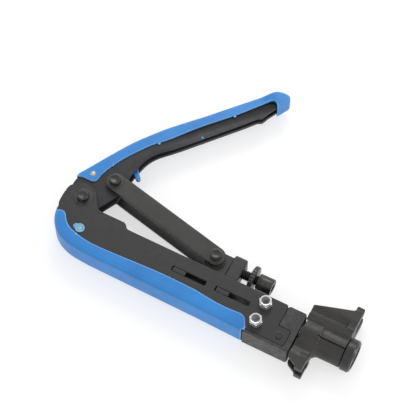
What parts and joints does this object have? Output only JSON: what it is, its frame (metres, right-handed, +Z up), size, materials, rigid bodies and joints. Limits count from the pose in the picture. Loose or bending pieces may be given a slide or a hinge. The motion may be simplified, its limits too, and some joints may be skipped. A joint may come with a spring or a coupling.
{
  "type": "coaxial compression crimping tool",
  "caption": "Hand crimping tool for coaxial connectors: two-plate frame, toggle lever, sliding plunger with adjusting screw and a swivelling two-die head.",
  "frame": {"origin": "centre of the tool's plan box, on the plane that the tool rests on", "axes": "+X along the frame towards the die head, +Y towards the open lever, +Z up, normal to the frame plates"},
  "size_m": [0.2514, 0.205, 0.0296],
  "materials": {
    "black_plate": "black oxide, satin",
    "link_plate": "black oxide, satin",
    "black_cast": "black, cast skin",
    "block_steel": "black oxide, machined",
    "dark_screw": "black oxide",
    "zinc": "zinc plated",
    "bare_steel": "ground",
    "nylon": "moulded",
    "blue_grip": "moulded, fine texture",
    "blue_light": "moulded",
    "brass": "plain"
  },
  "bodies": {
    "frame": {"frame_plate_top": "black_plate", "frame_plate_bottom": "black_plate", "frame_spine": "black_plate", "nose_block": "block_steel", "nose_rivet": "black_plate", "frame_bolts": "zinc", "frame_lock_nuts": "zinc", "nut_inserts": "nylon", "frame_grip": "blue_grip", "grip_plug": "blue_light", "grip_plug_screw": "brass", "pivot_rivet": "black_plate", "pivot_washers": "black_plate", "pivot_spacers": "bare_steel", "swivel_tube": "bare_steel", "swivel_retainer": "bare_steel", "detent_ball": "bare_steel"},
    "lever": {"lever_channel": "black_plate", "lever_grip": "blue_grip", "lever_grip_screws": "brass", "lever_bush": "bare_steel", "link_bush": "bare_steel", "lock_tab_pin": "bare_steel"},
    "lock_tab": {"lock_tab": "blue_grip"},
    "link": {"link_plate_top": "link_plate", "link_plate_bottom": "link_plate", "link_rivet_lever": "link_plate", "link_rivet_slider": "link_plate", "link_washers": "link_plate", "link_spacers": "bare_steel"},
    "slider": {"slider_block": "block_steel", "slider_guides": "block_steel"},
    "plunger": {"plunger_screw": "dark_screw", "plunger_tip": "black_plate"},
    "lock_nut": {"lock_nut": "black_plate"},
    "head": {"swivel_head": "black_cast", "head_cap": "black_cast"},
    "knob": {"head_knob": "black_cast", "knob_rod": "bare_steel", "knob_spring": "bare_steel"}
  },
  "joints": [
    {"name": "lever_pivot", "type": "hinge", "parent": "frame", "child": "lever", "pos_m": [-0.11085, -0.05245, 0.01355], "axis": [0, 0, 1], "range_deg": [-50, 0]},
    {"name": "link_pivot", "type": "hinge", "parent": "lever", "child": "link", "pos_m": [-0.09595, -0.02905, 0.01355], "axis": [0, 0, 1], "range_deg": [-0.5, 62]},
    {"name": "slider_travel", "type": "slide", "parent": "frame", "child": "slider", "axis": [1, 0, 0], "range_m": [-0.0001, 0.0149]},
    {"name": "plunger_adjust", "type": "slide", "parent": "slider", "child": "plunger", "axis": [1, 0, 0], "range_m": [-0.003, 0.003]},
    {"name": "lock_nut_spin", "type": "hinge", "parent": "plunger", "child": "lock_nut", "pos_m": [0.03225, -0.04995, 0.01355], "axis": [1, 0, 0], "continuous": true},
    {"name": "head_swivel", "type": "hinge", "parent": "frame", "child": "head", "pos_m": [0.10025, -0.07215, 0.01355], "axis": [1, 0, 0], "range_deg": [0, 180]},
    {"name": "knob_pull", "type": "slide", "parent": "head", "child": "knob", "axis": [1, 0, 0], "range_m": [0, 0.004], "stiffness_N_per_m": 900, "springref_m": -0.002},
    {"name": "lock_tab_swing", "type": "hinge", "parent": "lever", "child": "lock_tab", "pos_m": [-0.09315, -0.00655, 0.01355], "axis": [0, 0, 1], "range_deg": [-25, 25]}
  ],
  "couplings": [
    {"joint": "link_pivot", "follows": "lever_pivot", "ratio": -1.23},
    {"joint": "slider_travel", "follows": "lever_pivot", "m_per_rad": -0.01695}
  ]
}
